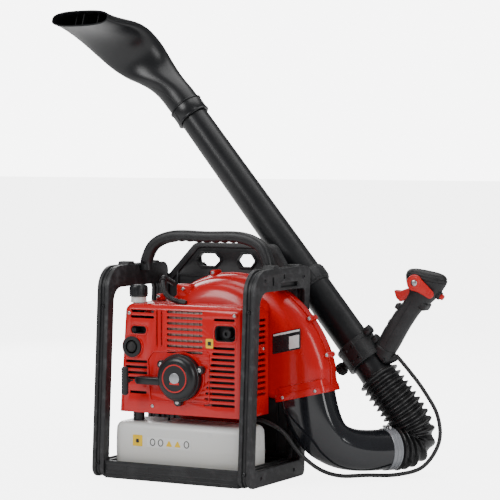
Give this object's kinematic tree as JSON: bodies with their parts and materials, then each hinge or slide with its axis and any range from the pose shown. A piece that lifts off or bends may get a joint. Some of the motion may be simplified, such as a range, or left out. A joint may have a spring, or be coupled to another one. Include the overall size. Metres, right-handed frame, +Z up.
{
  "type": "backpack leaf blower",
  "caption": "Petrol backpack leaf blower: framed engine and fan, fuel tank, elbow, bellows hose, two tubes, flat nozzle and a pistol grip with throttle.",
  "frame": {"origin": "centre of the base tray's flat underside, on the ground", "axes": "+Z up; +Y towards the wearer's back; +X towards the air outlet side"},
  "size_m": [0.8725, 0.4214, 0.966],
  "materials": {
    "frame_black": "fine moulded texture, satin",
    "tube_black": "smooth moulded, semi-gloss",
    "duct_gloss": "high gloss",
    "shell_red": "glossy painted plastic",
    "tank_white": "translucent natural plastic",
    "hose_rubber": "satin",
    "soft_rubber": "matte",
    "webbing": "woven, padded",
    "control_red": "glossy",
    "steel": "bright",
    "cast_alloy": "cast",
    "clamp_clear": "glossy grey"
  },
  "bodies": {
    "frame": {"base_tray": "frame_black", "frame_left_loop": "frame_black", "frame_right_loop": "frame_black", "back_panel": "frame_black", "carry_handle": "frame_black", "back_pad": "webbing", "shoulder_strap_left": "webbing", "shoulder_strap_right": "webbing", "strap_buckle_left": "frame_black", "strap_buckle_right": "frame_black", "rubber_mount_1": "soft_rubber", "rubber_mount_2": "soft_rubber", "rubber_mount_3": "soft_rubber", "rubber_mount_4": "soft_rubber", "fuel_tank": "tank_white", "filler_neck": "shell_red", "filler_hose": "soft_rubber", "fuel_line": "soft_rubber", "crankcase": "cast_alloy", "cylinder": "cast_alloy", "piston": "cast_alloy", "con_rod": "steel", "ignition_coil": "frame_black", "muffler": "steel", "carburettor": "cast_alloy", "air_filter": "frame_black", "spark_plug": "steel", "engine_cover": "shell_red", "primer_base": "frame_black", "starter_housing": "frame_black", "recoil_spring": "steel", "starter_rope": "webbing", "fan_housing_front": "shell_red", "fan_housing_rear": "shell_red", "elbow_duct": "duct_gloss", "throttle_conduit": "soft_rubber"},
    "fuel_cap": {"fuel_cap": "frame_black"},
    "choke": {"choke_lever": "frame_black"},
    "primer": {"primer_bulb": "soft_rubber"},
    "rotor": {"crankshaft": "steel", "flywheel": "cast_alloy", "fan_impeller": "frame_black"},
    "pulley": {"starter_pulley": "frame_black"},
    "pull_grip": {"starter_grip": "frame_black"},
    "hose": {"hose_clamp": "clamp_clear", "bellows_hose": "hose_rubber"},
    "tube": {"lower_tube": "tube_black", "coupling_ring": "tube_black", "upper_tube": "tube_black"},
    "nozzle": {"blower_nozzle": "tube_black"},
    "grip": {"handle_bracket": "tube_black", "control_grip": "tube_black", "grip_cap": "soft_rubber", "lever_screw": "steel"},
    "knob": {"bracket_knob": "tube_black"},
    "trigger": {"throttle_trigger": "control_red"},
    "lock_lever": {"throttle_lock_lever": "control_red"},
    "stop_switch": {"stop_button": "control_red"}
  },
  "joints": [
    {"name": "hose_swivel", "type": "hinge", "parent": "frame", "child": "hose", "pos_m": [0.335, 0.178, 0.0555], "axis": [0.5, 0.866, 0], "range_deg": [-8, 60], "deforming": ["throttle_conduit"]},
    {"name": "hose_bend", "type": "hinge", "parent": "hose", "child": "tube", "pos_m": [0.362, 0.238, 0.104], "axis": [-0.7055, 0.4073, -0.5799], "range_deg": [0, 60], "deforming": ["bellows_hose", "throttle_conduit"]},
    {"name": "nozzle_turn", "type": "hinge", "parent": "tube", "child": "nozzle", "pos_m": [-0.13742, 0.22, 0.73757], "axis": [-0.635, 0, 0.7725], "range_deg": [-90, 90]},
    {"name": "grip_turn", "type": "hinge", "parent": "tube", "child": "grip", "pos_m": [0.26454, 0.22, 0.24858], "axis": [-0.635, 0, 0.7725], "range_deg": [-30, 30], "deforming": ["throttle_conduit"]},
    {"name": "knob_turn", "type": "hinge", "parent": "grip", "child": "knob", "pos_m": [0.2195, 0.22, 0.21156], "axis": [-0.7725, 0, -0.635], "continuous": true},
    {"name": "trigger_pull", "type": "hinge", "parent": "grip", "child": "trigger", "pos_m": [0.38099, 0.22, 0.3845], "axis": [0, -1, 0], "range_deg": [0, 18], "stiffness_Nm_per_rad": 0.6, "springref_deg": -5.73},
    {"name": "lock_lever_turn", "type": "hinge", "parent": "grip", "child": "lock_lever", "pos_m": [0.39632, 0.1963, 0.39915], "axis": [0, -1, 0], "range_deg": [-50, 0]},
    {"name": "stop_press", "type": "slide", "parent": "grip", "child": "stop_switch", "axis": [-0.8624, 0, 0.5062], "range_m": [0, 0.003], "stiffness_N_per_m": 400, "springref_m": -0.0005},
    {"name": "rotor_spin", "type": "hinge", "parent": "frame", "child": "rotor", "pos_m": [0.01, 0, 0.212], "axis": [0, 1, 0], "continuous": true},
    {"name": "starter_pull", "type": "slide", "parent": "frame", "child": "pull_grip", "axis": [-0.3489, -0.9371, 0], "range_m": [0, 0.45], "stiffness_N_per_m": 25, "springref_m": -0.02, "deforming": ["starter_rope"]},
    {"name": "starter_spin", "type": "hinge", "parent": "frame", "child": "pulley", "pos_m": [0.01, -0.094, 0.212], "axis": [0, 1, 0], "range_deg": [0, 977.9]},
    {"name": "choke_slide", "type": "slide", "parent": "frame", "child": "choke", "axis": [1, 0, 0], "range_m": [0, 0.014]},
    {"name": "primer_press", "type": "slide", "parent": "frame", "child": "primer", "axis": [0, 1, 0], "range_m": [0, 0.005], "stiffness_N_per_m": 400, "springref_m": -0.0005},
    {"name": "fuel_cap_turn", "type": "hinge", "parent": "frame", "child": "fuel_cap", "pos_m": [-0.112, -0.05, 0.38], "axis": [0, 0, 1], "range_deg": [0, 270]}
  ],
  "couplings": [
    {"joint": "starter_spin", "follows": "starter_pull", "rad_per_m": 37.736}
  ]
}
